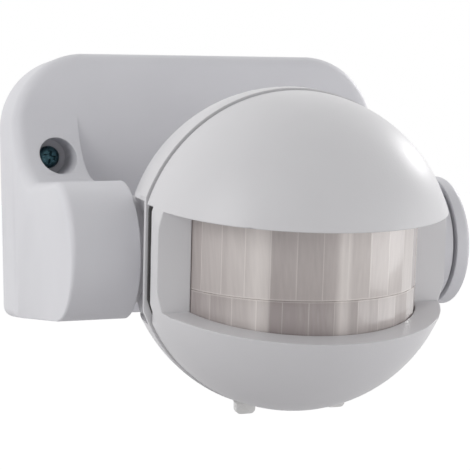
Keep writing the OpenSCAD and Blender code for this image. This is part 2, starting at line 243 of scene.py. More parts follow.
def roughNoise(nodes, links, shader, coords, low, high, scale):
    noise = nodes.new("ShaderNodeTexNoise")
    noise.inputs["Scale"].default_value = scale
    noise.inputs["Detail"].default_value = 3
    links.new(coords.outputs["Object"], noise.inputs["Vector"])
    span = nodes.new("ShaderNodeMapRange")
    span.inputs["From Min"].default_value = 0.3
    span.inputs["From Max"].default_value = 0.7
    span.inputs["To Min"].default_value = low
    span.inputs["To Max"].default_value = high
    links.new(noise.outputs["Fac"], span.inputs["Value"])
    links.new(span.outputs["Result"], shader.inputs["Roughness"])


def bumpFrom(nodes, links, shader, height, strength, distance):
    bump = nodes.new("ShaderNodeBump")
    bump.inputs["Strength"].default_value = strength
    bump.inputs["Distance"].default_value = distance
    links.new(height, bump.inputs["Height"])
    links.new(bump.outputs["Normal"], shader.inputs["Normal"])
    return bump


mouldedPlastic = {
    "housing": {"light": (0.735, 0.732, 0.765), "dark": (0.705, 0.702, 0.736), "rough": (0.42, 0.52), "grain": 2600, "edge": 0.0004},
    "shell": {"light": (0.735, 0.728, 0.745), "dark": (0.705, 0.698, 0.716), "rough": (0.33, 0.43), "grain": 2200, "edge": 0.00035},
}


def makeMouldedPlastic(name, values):
    material, nodes, links, shader = newMaterial(name)
    coords = nodes.new("ShaderNodeTexCoord")
    colourNoise(nodes, links, shader, coords, values["light"], values["dark"], 38)
    roughNoise(nodes, links, shader, coords, *values["rough"], 90)
    grain = nodes.new("ShaderNodeTexNoise")
    grain.inputs["Scale"].default_value = values["grain"]
    grain.inputs["Detail"].default_value = 2
    links.new(coords.outputs["Object"], grain.inputs["Vector"])
    bump = bumpFrom(nodes, links, shader, grain.outputs["Fac"], 0.35, 0.00006)
    edges = nodes.new("ShaderNodeBevel")
    edges.samples = 6
    edges.inputs["Radius"].default_value = values["edge"]
    links.new(edges.outputs["Normal"], bump.inputs["Normal"])
    shader.inputs["Specular IOR Level"].default_value = 0.5
    shader.inputs["Subsurface Weight"].default_value = 0.05
    shader.inputs["Subsurface Radius"].default_value = (0.002, 0.002, 0.002)
    shader.inputs["Subsurface Scale"].default_value = 0.5
    return material


housingPlastic = makeMouldedPlastic("housingPlastic", mouldedPlastic["housing"])
shellPlastic = makeMouldedPlastic("shellPlastic", mouldedPlastic["shell"])


lensLook = {
    "sides": 32, "seamTurn": 2.6, "rowSplit": -6.5, "axisY": -3,
    "dark": (0.335, 0.29, 0.285), "light": (0.82, 0.765, 0.735),
    # painted reflections and painted shade across the lens, as a tone by angle from the middle in degrees
    "upper": ((-75, 0.28), (-62, 0.42), (-52, 0.50), (-50, 0.62), (-42, 0.66), (-37, 0.92), (-32, 0.74), (-30.5, 0.20),
              (-21, 0.26), (-19, 0.30), (-9.5, 0.36), (-8, 0.34), (-3, 0.45), (0, 0.98), (3, 0.90), (5, 0.58),
              (14, 0.62), (15, 0.52), (26, 0.62), (27, 0.68), (37, 0.56), (40, 0.62), (55, 0.50), (70, 0.40)),
    "lowerRowPaintedShade": 0.24,
    "seamPaintedHighlight": 0.22,
}


def mathNode(nodes, links, operation, first, second=None):
    node = nodes.new("ShaderNodeMath")
    node.operation = operation
    for socket, value in zip(node.inputs, (first, second)):
        if value is None:
            continue
        if isinstance(value, (int, float)):
            socket.default_value = value
        else:
            links.new(value, socket)
    return node.outputs[0]


def makeLensPlastic():
    material, nodes, links, shader = newMaterial("milkyLens")
    look = lensLook
    coords = nodes.new("ShaderNodeTexCoord")
    # into the head's own frame, with the lens axis at the middle
    lay = nodes.new("ShaderNodeMapping")
    turnBack = Matrix.Rotation(math.radians(-place["restTilt"]), 3, "X")
    lay.inputs["Rotation"].default_value = (math.radians(-place["restTilt"]), 0, 0)
    lay.inputs["Location"].default_value = Vector((0, -look["axisY"] * mm, 0)) - turnBack @ headCentre
    links.new(coords.outputs["Object"], lay.inputs["Vector"])
    axes = nodes.new("ShaderNodeSeparateXYZ")
    links.new(lay.outputs["Vector"], axes.inputs["Vector"])
    forward = mathNode(nodes, links, "MULTIPLY", axes.outputs["Y"], -1.0)
    angle = mathNode(nodes, links, "ARCTAN2", axes.outputs["X"], forward)
    degrees = mathNode(nodes, links, "MULTIPLY", angle, 180 / math.pi)
    share = mathNode(nodes, links, "DIVIDE", mathNode(nodes, links, "ADD", degrees, 80.0), 160.0)
    # painted light: the bright stretches are painted reflections, the dark ones painted shade
    tone = nodes.new("ShaderNodeValToRGB")
    ramp = tone.color_ramp
    ramp.interpolation = "LINEAR"
    while len(ramp.elements) > 1:
        ramp.elements.remove(ramp.elements[-1])
    for place_, value in look["upper"]:
        spot = (place_ + 80) / 160
        element = ramp.elements[0] if value == look["upper"][0][1] and place_ == look["upper"][0][0] else ramp.elements.new(spot)
        element.position = spot
        element.color = (value, value, value, 1)
    links.new(share, tone.inputs["Fac"])
    # painted highlights: thin pale lines along the seams between the facets, half a facet apart in the two rows, and
    # one across
    lower = mathNode(nodes, links, "LESS_THAN", axes.outputs["Z"], look["rowSplit"] * mm)
    step = 360 / look["sides"]
    facet = mathNode(nodes, links, "DIVIDE", mathNode(nodes, links, "SUBTRACT", degrees, look["seamTurn"]), step)
    facet = mathNode(nodes, links, "ADD", facet, mathNode(nodes, links, "MULTIPLY", lower, 0.5))
    inside = mathNode(nodes, links, "PINGPONG", facet, 0.5)
    seam = mathNode(nodes, links, "LESS_THAN", inside, 0.02)
    index = mathNode(nodes, links, "FLOOR", facet)
    speck = nodes.new("ShaderNodeTexWhiteNoise")
    speck.noise_dimensions = "2D"
    pair = nodes.new("ShaderNodeCombineXYZ")
    links.new(index, pair.inputs["X"])
    links.new(lower, pair.inputs["Y"])
    links.new(pair.outputs["Vector"], speck.inputs["Vector"])
    offset = mathNode(nodes, links, "MULTIPLY", mathNode(nodes, links, "SUBTRACT", speck.outputs["Value"], 0.5), 0.12)
    # upright flow lines in the sheet
    stretch = nodes.new("ShaderNodeMapping")
    stretch.inputs["Scale"].default_value = (1400, 1400, 30)
    links.new(coords.outputs["Object"], stretch.inputs["Vector"])
    lines = nodes.new("ShaderNodeTexNoise")
    lines.inputs["Scale"].default_value = 1
    lines.inputs["Detail"].default_value = 2
    links.new(stretch.outputs["Vector"], lines.inputs["Vector"])
    flow = mathNode(nodes, links, "MULTIPLY", mathNode(nodes, links, "SUBTRACT", lines.outputs["Fac"], 0.5), 0.22)
    total = mathNode(nodes, links, "ADD", tone.outputs["Color"], offset)
    total = mathNode(nodes, links, "ADD", total, flow)
    # painted shade: the lower row of facets is painted darker
    total = mathNode(nodes, links, "SUBTRACT", total, mathNode(nodes, links, "MULTIPLY", lower, look["lowerRowPaintedShade"]))
    apart = mathNode(nodes, links, "ABSOLUTE", mathNode(nodes, links, "SUBTRACT", axes.outputs["Z"],
                                                        look["rowSplit"] * mm))
    across = mathNode(nodes, links, "LESS_THAN", apart, 0.00035)
    seam = mathNode(nodes, links, "MAXIMUM", seam, across)
    total = mathNode(nodes, links, "ADD", total, mathNode(nodes, links, "MULTIPLY", seam, look["seamPaintedHighlight"]))
    # dark is the painted shade end and light the painted highlight end; the random facet tone and flow lines ride on
    # top
    blend = nodes.new("ShaderNodeValToRGB")
    blend.color_ramp.elements[0].color = (*look["dark"], 1)
    blend.color_ramp.elements[1].color = (*look["light"], 1)
    links.new(total, blend.inputs["Fac"])
    links.new(blend.outputs["Color"], shader.inputs["Base Color"])
    bumpFrom(nodes, links, shader, lines.outputs["Fac"], 0.25, 0.00008)
    shader.inputs["Roughness"].default_value = 0.2
    shader.inputs["Coat Weight"].default_value = 0.4
    shader.inputs["Coat Roughness"].default_value = 0.08
    return material


milkyLens = makeLensPlastic()


def makeKnobPlastic():
    material, nodes, links, shader = newMaterial("naturalNylon")
    coords = nodes.new("ShaderNodeTexCoord")
    colourNoise(nodes, links, shader, coords, (0.74, 0.735, 0.73), (0.68, 0.675, 0.67), 300)
    roughNoise(nodes, links, shader, coords, 0.22, 0.34, 500)
    shader.inputs["Subsurface Weight"].default_value = 0.3
    shader.inputs["Subsurface Radius"].default_value = (0.003, 0.003, 0.003)
    shader.inputs["Subsurface Scale"].default_value = 0.5
    return material


naturalNylon = makeKnobPlastic()


def makeMetal(name, light, dark, rough, streak):
    material, nodes, links, shader = newMaterial(name)
    coords = nodes.new("ShaderNodeTexCoord")
    colourNoise(nodes, links, shader, coords, light, dark, 420)
    roughNoise(nodes, links, shader, coords, *rough, 700)
    scratch = nodes.new("ShaderNodeTexNoise")
    scratch.inputs["Scale"].default_value = streak
    scratch.inputs["Detail"].default_value = 3
    links.new(coords.outputs["Object"], scratch.inputs["Vector"])
    bumpFrom(nodes, links, shader, scratch.outputs["Fac"], 0.3, 0.00003)
    shader.inputs["Metallic"].default_value = 1
    return material


blueZinc = makeMetal("blueZinc", (0.10, 0.20, 0.23), (0.045, 0.10, 0.125), (0.22, 0.40), 1800)
brightZinc = makeMetal("brightZinc", (0.66, 0.66, 0.67), (0.52, 0.52, 0.54), (0.28, 0.42), 1800)
nickelCan = makeMetal("nickelCan", (0.74, 0.73, 0.71), (0.66, 0.65, 0.63), (0.16, 0.26), 1200)
terminalBrass = makeMetal("terminalBrass", (0.78, 0.60, 0.28), (0.66, 0.49, 0.22), (0.25, 0.4), 1500)


def makePlain(name, light, dark, rough, scale=200, grain=1500, depth=0.00004):
    material, nodes, links, shader = newMaterial(name)
    coords = nodes.new("ShaderNodeTexCoord")
    colourNoise(nodes, links, shader, coords, light, dark, scale)
    roughNoise(nodes, links, shader, coords, *rough, scale * 2)
    fine = nodes.new("ShaderNodeTexNoise")
    fine.inputs["Scale"].default_value = grain
    links.new(coords.outputs["Object"], fine.inputs["Vector"])
    bumpFrom(nodes, links, shader, fine.outputs["Fac"], 0.4, depth)
    return material


sealRubber = makePlain("sealRubber", (0.075, 0.072, 0.072), (0.05, 0.048, 0.048), (0.6, 0.75))
grommetRubber = makePlain("grommetRubber", (0.10, 0.10, 0.105), (0.07, 0.07, 0.072), (0.55, 0.7))
innerPlastic = makePlain("innerPlastic", (0.62, 0.62, 0.61), (0.57, 0.57, 0.56), (0.45, 0.6))
terminalPlastic = makePlain("terminalPlastic", (0.80, 0.76, 0.64), (0.74, 0.70, 0.58), (0.4, 0.55))
blackPlastic = makePlain("blackPlastic", (0.03, 0.03, 0.032), (0.018, 0.018, 0.02), (0.3, 0.45))
filterGlass = makePlain("filterGlass", (0.03, 0.03, 0.035), (0.02, 0.02, 0.024), (0.08, 0.14), depth=0.00001)
cellOrange = makePlain("cellOrange", (0.62, 0.22, 0.10), (0.48, 0.15, 0.07), (0.2, 0.35))
relayBlue = makePlain("relayBlue", (0.04, 0.12, 0.36), (0.03, 0.09, 0.28), (0.3, 0.42))
filmYellow = makePlain("filmYellow", (0.78, 0.56, 0.08), (0.68, 0.47, 0.06), (0.28, 0.4))
discBlue = makePlain("discBlue", (0.08, 0.22, 0.55), (0.06, 0.17, 0.45), (0.25, 0.4), grain=700)
trimmerBlue = makePlain("trimmerBlue", (0.06, 0.17, 0.42), (0.05, 0.13, 0.34), (0.3, 0.45))


def makeBoard():
    # solder mask with faint copper tracks under it
    material, nodes, links, shader = newMaterial("solderMask")
    coords = nodes.new("ShaderNodeTexCoord")
    tracks = nodes.new("ShaderNodeTexBrick")
    tracks.inputs["Scale"].default_value = 160
    tracks.inputs["Mortar Size"].default_value = 0.09
    tracks.inputs["Color1"].default_value = (0.018, 0.16, 0.07, 1)
    tracks.inputs["Color2"].default_value = (0.014, 0.13, 0.055, 1)
    tracks.inputs["Mortar"].default_value = (0.05, 0.27, 0.12, 1)
    lay = nodes.new("ShaderNodeMapping")
    lay.inputs["Rotation"].default_value = (math.pi / 2, 0, 0)
    links.new(coords.outputs["Object"], lay.inputs["Vector"])
    links.new(lay.outputs["Vector"], tracks.inputs["Vector"])
    links.new(tracks.outputs["Color"], shader.inputs["Base Color"])
    bumpFrom(nodes, links, shader, tracks.outputs["Fac"], 0.3, 0.00004)
    shader.inputs["Roughness"].default_value = 0.32
    return material


solderMask = makeBoard()


def makeLeadPlastic():
    # the leads get one brown with a random mottle
    material, nodes, links, shader = newMaterial("leadPlastic")
    coords = nodes.new("ShaderNodeTexCoord")
    colourNoise(nodes, links, shader, coords, (0.20, 0.10, 0.06), (0.13, 0.06, 0.035), 300)
    roughNoise(nodes, links, shader, coords, 0.35, 0.5, 500)
    return material


leadPlastic = makeLeadPlastic()

finishes = {
    "wall_plate": innerPlastic, "cable_grommet": grommetRubber, "cable_clamp": innerPlastic,
    "clamp_screws": brightZinc, "terminal_block": terminalPlastic, "terminal_clamps": terminalBrass,
    "terminal_screws": brightZinc, "bracket_leads": leadPlastic, "friction_washers": brightZinc,
    "trunnion_nuts": innerPlastic, "shell_seal": sealRubber, "lens_retainer": innerPlastic,
    "sensor_board": solderMask, "board_spacers": innerPlastic, "pir_sensor": nickelCan,
    "pir_window": filterGlass, "sensor_shroud": innerPlastic, "light_sensor": cellOrange,
    "board_header": blackPlastic, "main_board": solderMask, "relay": relayBlue,
    "film_capacitor": filmYellow, "smoothing_capacitor": blackPlastic, "varistor": discBlue,
    "board_diodes": blackPlastic, "trimmer_bodies": trimmerBlue, "board_screws": brightZinc,
    "shell_screws": brightZinc, "head_leads": leadPlastic, "knob_seals": sealRubber,
    "bracket_housing": housingPlastic, "housing_screws": blueZinc, "rear_shell": shellPlastic,
    "front_shell": shellPlastic, "fresnel_lens": milkyLens, "time_knob": naturalNylon, "lux_knob": naturalNylon,
}


def paint(piece, material):
    piece.data.materials.clear()
    piece.data.materials.append(material)
    for face in piece.data.polygons:
        face.material_index = 0


for nodeName, node in frame["nodes"].items():
    paint(node, finishes[nodeName])
print("materials made")


# ---------- camera, floor and light ----------

view = {
    "camera": (-130.7, -321.2, 14.7),   # from the head's centre, mm
    "aim": (-12.9, 0, 3.4),
    "roll": -0.95,
    "lens": 112.3,
}


def makeCamera():
    data = bpy.data.cameras.new("camera")
    data.lens = view["lens"]
    data.sensor_width = 36
    data.clip_start = 0.01
    data.clip_end = 200
    camera = bpy.data.objects.new("camera", data)
    bpy.context.scene.collection.objects.link(camera)
    eye = headCentre + Vector(view["camera"]) * mm
    aim = headCentre + Vector(view["aim"]) * mm
    turn = (aim - eye).to_track_quat("-Z", "Y").to_matrix().to_4x4()
    camera.matrix_world = Matrix.Translation(eye) @ turn @ Matrix.Rotation(math.radians(view["roll"]), 4, "Z")
    bpy.context.scene.camera = camera


makeCamera()

stageValues = {
    "floorDrop": 0.6,           # floor under the tilt axis, m
    "floorReach": 60,
    "floorColour": (0.94, 0.94, 0.94, 1),
    "shadeColour": (0.30, 0.295, 0.30, 1),
    "shadeReach": 2.2,
    "worldBack": 1.0,
    "worldFront": 0.405,
}


def makeFloor():
    deselectAll()
    bpy.ops.mesh.primitive_grid_add(
        x_subdivisions=8, y_subdivisions=8, size=2 * stageValues["floorReach"],
        location=(0, 0, tiltAxis.z - stageValues["floorDrop"]))
    floor = settle(start("floor"))
    material, nodes, links, shader = newMaterial("paleFloor")
    # a soft pool of shade under the object, pale all round it
    coords = nodes.new("ShaderNodeTexCoord")
    spot = nodes.new("ShaderNodeMapping")
    spot.inputs["Location"].default_value = (0, 0, stageValues["floorDrop"] / stageValues["shadeReach"])
    spot.inputs["Scale"].default_value = (1 / stageValues["shadeReach"],) * 3
    links.new(coords.outputs["Object"], spot.inputs["Vector"])
    fall = nodes.new("ShaderNodeTexGradient")
    fall.gradient_type = "SPHERICAL"
    links.new(spot.outputs["Vector"], fall.inputs["Vector"])
    tone = nodes.new("ShaderNodeValToRGB")
    tone.color_ramp.elements[0].color = stageValues["floorColour"]
    tone.color_ramp.elements[1].color = stageValues["shadeColour"]
    tone.color_ramp.elements[1].position = 0.7
    links.new(fall.outputs["Fac"], tone.inputs["Fac"])
    links.new(tone.outputs["Color"], shader.inputs["Base Color"])
    # painted light: the floor also glows in these colours, painted shade pool included
    links.new(tone.outputs["Color"], shader.inputs["Emission Color"])
    shader.inputs["Roughness"].default_value = 0.9
    shader.inputs["Emission Strength"].default_value = 0.4
    paint(floor, material)


def makeWorld():
    # brighter behind the object than in front of it
    world = bpy.data.worlds.new("studio")
    bpy.context.scene.world = world
    world.use_nodes = True
    nodes, links = world.node_tree.nodes, world.node_tree.links
    background = nodes["Background"]
    coords = nodes.new("ShaderNodeTexCoord")
    axes = nodes.new("ShaderNodeSeparateXYZ")
    links.new(coords.outputs["Generated"], axes.inputs["Vector"])
    span = nodes.new("ShaderNodeMapRange")
    span.interpolation_type = "SMOOTHSTEP"
    span.inputs["From Min"].default_value = -0.35
    span.inputs["From Max"].default_value = 0.45
    span.inputs["To Min"].default_value = stageValues["worldFront"]
    span.inputs["To Max"].default_value = stageValues["worldBack"]
    links.new(axes.outputs["Y"], span.inputs["Value"])
    background.inputs["Color"].default_value = (1, 1, 1, 1)
    links.new(span.outputs["Result"], background.inputs["Strength"])


softLights = {
    "sideKey": {"from": (-0.86, -0.25, 0.42), "far": 0.9, "size": 0.5, "power": 1.7},
    "rim": {"from": (0.80, 0.44, 0.40), "far": 0.8, "size": 0.14, "power": 0.9},
    "right": {"from": (0.93, -0.33, -0.05), "far": 1.1, "size": 0.9, "power": 3.6},
    "front": {"from": (0.45, -0.86, 0.22), "far": 1.0, "size": 0.25, "power": 0.15},
}


def makeLights():
    for name, values in softLights.items():
        data = bpy.data.lights.new(name, "AREA")
        data.shape = "DISK"
        data.size = values["size"]
        data.energy = values["power"]
        light = bpy.data.objects.new(name, data)
        bpy.context.scene.collection.objects.link(light)
        way = Vector(values["from"]).normalized()
        light.matrix_world = (Matrix.Translation(headCentre + way * values["far"])
                              @ (-way).to_track_quat("-Z", "Y").to_matrix().to_4x4())


makeFloor()
makeWorld()
makeLights()
bpy.context.scene.view_settings.view_transform = "Standard"
print("camera, floor and light made")


# ---------- bracket ----------

housing = {
    "halfWidth": 52.2, "halfHeight": 35.5, "depth": 18.4, "wall": 2.2,
    "topCorner": 20, "footCorner": 3, "edge": 3.6, "slope": math.tan(math.radians(3.2)),
    "armIn": 34.9, "armRadius": 16.6, "hollow": 19, "draft": 0.0175, "cap": 47.4,
    "screwX": 41.4, "screwZ": 8, "recess": 4.9, "seat": 10, "boss": 7,
}
axisY, axisZ = tiltAxis.y / mm, tiltAxis.z / mm


def bracketShape(name, inset):
    # side view of the back box and the arms in one, then cut to the front outline; inset makes the hollow inside
    h = housing
    r, back = h["armRadius"] - inset, 0 if inset == 0 else 4
    front, top = -h["depth"] + inset, h["halfHeight"] - inset
    piece = addBlock(name, (-60, axisY - r, axisZ - r), (60, back, top + 3))
    over = addBlock("over", (-70, axisY - 40, axisZ + r), (70, front, top + 9))
    bevelEdges(over, lambda a, b: min(a.y, b.y) > front - 0.1 and max(a.z, b.z) < axisZ + r + 0.1,
               h["hollow"] + inset, 32)
    combine(piece, over, "DIFFERENCE")
    bevelEdges(piece, lambda a, b: max(a.y, b.y) < axisY - r + 0.1 and abs(a.z - b.z) < 0.01, r - 0.01, 32)
    shift(piece, lambda p: p.y > back - 0.1 and p.z < axisZ, (0, 0, (axisY - back) * h["slope"]))
    x, low = h["halfWidth"] - inset, -h["halfHeight"] + inset
    outline = addBlock("outline", (-x, axisY - 40, low), (x, back + 5, top + 0.5))
    bevelEdges(outline, lambda a, b: abs(a.y - b.y) > 1 and min(a.z, b.z) > 0, h["topCorner"] - inset, 32)
    bevelEdges(outline, lambda a, b: abs(a.y - b.y) > 1 and max(a.z, b.z) < low + 0.1,
               h["footCorner"] - inset, 8)
    shift(outline, lambda p: p.z > 0, (0, 0, -0.5))
    combine(piece, outline, "INTERSECT")
    return clean(piece)


def cutBetween(piece, inset):
    # the room between the arms
    x, front = housing["armIn"] + inset, -housing["depth"] + inset - 0.02
    combine(piece, addBlock("between", (-x, axisY - 50, -60), (x, front, 60)), "DIFFERENCE")


def backBox():
    # the back box with its upper corners and front edge rounded and its foot sloped
    h = housing
    box = addBlock("bracketHousing", (-h["halfWidth"], -h["depth"], -h["halfHeight"]),
                   (h["halfWidth"], 0, h["halfHeight"]))
    bevelEdges(box, lambda a, b: abs(a.y - b.y) > 1 and min(a.z, b.z) > 0, h["topCorner"], 32)
    bevelEdges(box, lambda a, b: abs(a.y - b.y) > 1 and max(a.z, b.z) < 0, h["footCorner"], 8)
    bevelEdges(box, lambda a, b: max(a.y, b.y) < -h["depth"] + 0.01 and max(a.z, b.z) > -h["halfHeight"] + 3.2,
               h["edge"], 10)
    return cutOff(box, (0, axisY, axisZ - h["armRadius"]), (0, -h["slope"], -1))


def edgeRound(a, b):
    # how round an outer edge of the arms is, as a share of the front rounding
    h = housing
    hollowY, hollowZ = -h["depth"] - h["hollow"], axisZ + h["armRadius"] + h["hollow"]
    if min(abs(a.x), abs(b.x)) < 50.5 or a.x * b.x < 0 or max(a.z, b.z) < axisZ - h["armRadius"] + 0.1:
        return 0
    if max(abs(math.hypot(p.y - hollowY, p.z - hollowZ) - h["hollow"]) for p in (a, b)) < 0.03:
        return 1
    if min(a.z, b.z) > axisZ + h["armRadius"] - 0.01 and max(a.y, b.y) < hollowY + 0.05:
        return 0.5
    if max(abs(math.hypot(p.y - axisY, p.z - axisZ) - h["armRadius"]) for p in (a, b)) < 0.03:
        return 0.32 + 0.18 * ((a.z + b.z) / 2 - axisZ) / h["armRadius"]
    return 0


def roundOuter(piece):
    pick(piece)
    weights = piece.data.attributes.new("bevel_weight_edge", "FLOAT", "EDGE")
    points = piece.data.vertices
    for edge in piece.data.edges:
        a, b = (points[i].co / mm for i in edge.vertices)
        weights.data[edge.index].value = edgeRound(a, b)
    modifier = piece.modifiers.new("outer", "BEVEL")
    modifier.width = housing["edge"] * mm
    modifier.segments = 8
    modifier.limit_method = "WEIGHT"
    modifier.use_clamp_overlap = False
    bpy.ops.object.modifier_apply(modifier="outer")
    weights = piece.data.attributes.get("bevel_weight_edge")
    if weights:
        piece.data.attributes.remove(weights)


def makeArms():
    h = housing
    r, front, back, x = h["armRadius"], -h["depth"], -14, h["halfWidth"] - 0.02
    arms = addBlock("arms", (-x, axisY - r, axisZ - r), (x, back, axisZ + r + h["hollow"] - 0.2))
    over = addBlock("over", (-70, axisY - 40, axisZ + r), (70, front, 50))
    bevelEdges(over, lambda a, b: min(a.y, b.y) > front - 0.1 and max(a.z, b.z) < axisZ + r + 0.1, h["hollow"], 32)
    combine(arms, over, "DIFFERENCE")
    bevelEdges(arms, lambda a, b: max(a.y, b.y) < axisY - r + 0.1 and abs(a.z - b.z) < 0.01, r - 0.01, 32)
    shift(arms, lambda p: p.y > back - 0.1 and p.z < axisZ - r + 0.1, (0, 0, (axisY - back) * h["slope"] + 0.03))
    for side in (-1, 1):
        cutOff(arms, (side * x, front, 0), (side, -h["draft"], 0))
    foot = addBlock("foot", (-x - 0.5, axisY - 40, -h["halfHeight"]), (x + 0.5, 5, 40))
    bevelEdges(foot, lambda a, b: abs(a.y - b.y) > 1 and max(a.z, b.z) < 0, h["footCorner"] + 0.5, 8)
    combine(arms, foot, "INTERSECT")
    clean(arms, 0.005)
    roundOuter(arms)
    # the top of the hollow follows the box's round corners
    low, slices = h["halfHeight"] - h["topCorner"], 16
    high = axisZ + r + h["hollow"]
    for i in range(slices):
        z = low + (high - low) * i / slices
        middle = (high - low) * (i + 0.5) / slices
        inward = h["topCorner"] - math.sqrt(h["topCorner"] ** 2 - middle ** 2)
        for side in (-1, 1):
            shift(arms, lambda p: z <= p.z < z + (high - low) / slices and p.x * side > 45, (-side * inward, 0, 0))
    cutBetween(arms, 0)
    return arms


def cutGroove(body):
    # the right arm's end cap stands a little proud, behind a narrow groove
    h = housing
    for low, high, radius in ((h["cap"] - 9, h["cap"] - 0.4, h["armRadius"] - 0.5), (h["cap"] - 0.9, h["cap"], 13.9)):
        ring = addRod("ring", "x", low, high, 20, (axisY, axisZ), sides=128)
        combine(ring, addRod("core", "x", low - 1, high + 1, radius, (axisY, axisZ), sides=128), "DIFFERENCE")
        combine(ring, addBlock("half", (30, -100, -60), (60, axisY - 1, 20)), "INTERSECT")
        combine(body, ring, "DIFFERENCE")


def makeHousing():
    h = housing
    body = combine(backBox(), makeArms(), "UNION")
    inside = bracketShape("inside", h["wall"])
    cutBetween(inside, h["wall"])
    boss = addRod("boss", "y", -h["depth"] - h["hollow"], -7.8, h["boss"], (h["screwX"], h["screwZ"]))
    combine(inside, mirrored(boss), "DIFFERENCE")
    combine(body, inside, "DIFFERENCE")
    recess = addRod("recess", "y", -60, -h["seat"], h["recess"], (h["screwX"], h["screwZ"]))
    combine(body, mirrored(recess), "DIFFERENCE")
    hole = addRod("hole", "y", -h["seat"] - 1, 0, 2, (h["screwX"], h["screwZ"]), sides=48)
    combine(body, mirrored(hole), "DIFFERENCE")
    bore = addRod("bore", "x", h["armIn"] - 1, h["armIn"] + h["wall"] + 1, 7.08, (axisY, axisZ))
    combine(body, mirrored(bore), "DIFFERENCE")
    cutGroove(body)
    smooth(body, 0.004)
    paint(body, housingPlastic)
    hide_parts("bracket_housing")
    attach(body, "bracket")
    return body


makeHousing()
print("bracket housing made")


# ---------- screws ----------

def crossScrew(name, x, y, z, head, thick, shank, length, facing=-1):
    # pan head with a cross recess; facing -1 shows its head to the front
    piece = addRod(name, "y", -thick, 0, head, (0, 0), sides=64)
    bevelEdges(piece, lambda a, b: max(a.y, b.y) < -thick + 0.01, thick * 0.62, 6)
    combine(piece, addRod("shank", "y", -0.1, length, shank, (0, 0), sides=32), "UNION")
    for turn in (0, 1):
        slotWide, slotThin = head * 0.58, head * 0.15
        size = (slotWide, slotThin) if turn else (slotThin, slotWide)
        blade = addBlock("blade", (-size[0], -thick - 1, -size[1]), (size[0], -thick * 0.3, size[1]))
        shift(blade, lambda p: p.y > -thick * 0.5, (0, 0, 0))
        pick(blade)
        combine(piece, blade, "DIFFERENCE")
    soften(piece, 0.08, 1, 40)
    if facing > 0:
        piece.matrix_world = Matrix.Translation(Vector((x, y, z)) * mm) @ Matrix.Rotation(math.pi, 4, "Z")
    else:
        piece.matrix_world = Matrix.Translation(Vector((x, y, z)) * mm)
    return settle(piece)


def makeHousingScrews():
    h = housing
    screw = crossScrew("housingScrews", 0, -h["seat"], 0, 3, 2.2, 1.45, 9)
    copyScrew = screw.copy()
    copyScrew.data = screw.data.copy()
    bpy.context.scene.collection.objects.link(copyScrew)
    for piece, side, turn in ((screw, -1, 12), (copyScrew, 1, -25)):
        piece.matrix_world = (Matrix.Translation(Vector((side * h["screwX"], 0, h["screwZ"])) * mm)
                              @ Matrix.Rotation(math.radians(turn), 4, "Y"))
        settle(piece)
    deselectAll()
    copyScrew.select_set(True)
    screw.select_set(True)
    bpy.context.view_layer.objects.active = screw
    bpy.ops.object.join()
    paint(screw, blueZinc)
    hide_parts("housing_screws")
    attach(screw, "bracket")


makeHousingScrews()
print("housing screws made")


# ---------- head ----------

head = {
    "rear": 38, "dome": (37.45, 38.3, 37.45), "domeY": -3, "wall": 2.2, "flat": 35.7,
    "frontRim": -3.4, "frontCheek": -7.3, "rearRim": -2.6, "backCut": 30,
    "cheekX": 32.4, "cheekTop": 12, "cheekBottom": -16.5, "stepX": 34,
    "collar": 13, "collarX": 34.6, "trunnion": 7, "bore": 4.5, "trunnionEnd": 43.5,
    "postX": 24, "postZ": 20.5, "postSeat": 14, "knobY": 2.5, "knobX": (-8.5, 15),
    "windowBack": 12.3, "windowTop": 11, "windowBottom": 11.7, "visorSlope": 0.05, "ledgeSlope": 0.117,
}
turnRad = math.radians(place["restTilt"])
axleY = place["headAhead"] / mm * math.cos(turnRad)
axleZ = -place["headAhead"] / mm * math.sin(turnRad)


def windowShape(name, grow):
    # the wedge that the window takes out of the dome, wider to the front
    h = head
    far = 60
    back = -h["windowBack"] + grow
    reach = far - h["windowBack"]
    piece = addBlock(name, (-50, -far, -h["windowBottom"] - grow), (50, back, h["windowTop"] + grow))
    shift(piece, lambda p: p.y < -far + 1 and p.z > 0, (0, 0, -h["visorSlope"] * reach))
    shift(piece, lambda p: p.y < -far + 1 and p.z < 0, (0, 0, -h["ledgeSlope"] * reach))
    return piece


def makeFrontShell():
    h = head
    shell = addBall("frontShell", h["dome"], h["domeY"])
    cutOff(shell, (0, h["frontRim"], 0), (0, 1, 0))
    for side in (-1, 1):
        cutOff(shell, (side * h["flat"], 0, 0), (side, 0, 0))
    inner = [r - h["wall"] for r in h["dome"]]
    hollow = addBall("hollow", inner, h["domeY"])
    cutOff(hollow, (0, h["frontRim"] + 4, 0), (0, 1, 0))
    for side in (-1, 1):
        cutOff(hollow, (side * 33.6, 0, 0), (side, 0, 0))
    lining = windowShape("lining", 2)
    combine(lining, addRod("lensWay", "z", -50, 50, 29.35, (0, h["domeY"]), sides=128), "DIFFERENCE")
    combine(hollow, lining, "DIFFERENCE")
    combine(shell, hollow, "DIFFERENCE")
    combine(shell, windowShape("window", 0), "DIFFERENCE")
    cheek = addBlock("cheek", (33.9, h["frontCheek"], h["cheekBottom"] + 0.5), (45, 5, h["cheekTop"] - 0.5))
    combine(shell, mirrored(cheek), "DIFFERENCE")
    soften(shell, 0.12, 1, reach=0.16)
    onHead(shell)
    paint(shell, shellPlastic)
    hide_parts("front_shell")
    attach(shell, "head")


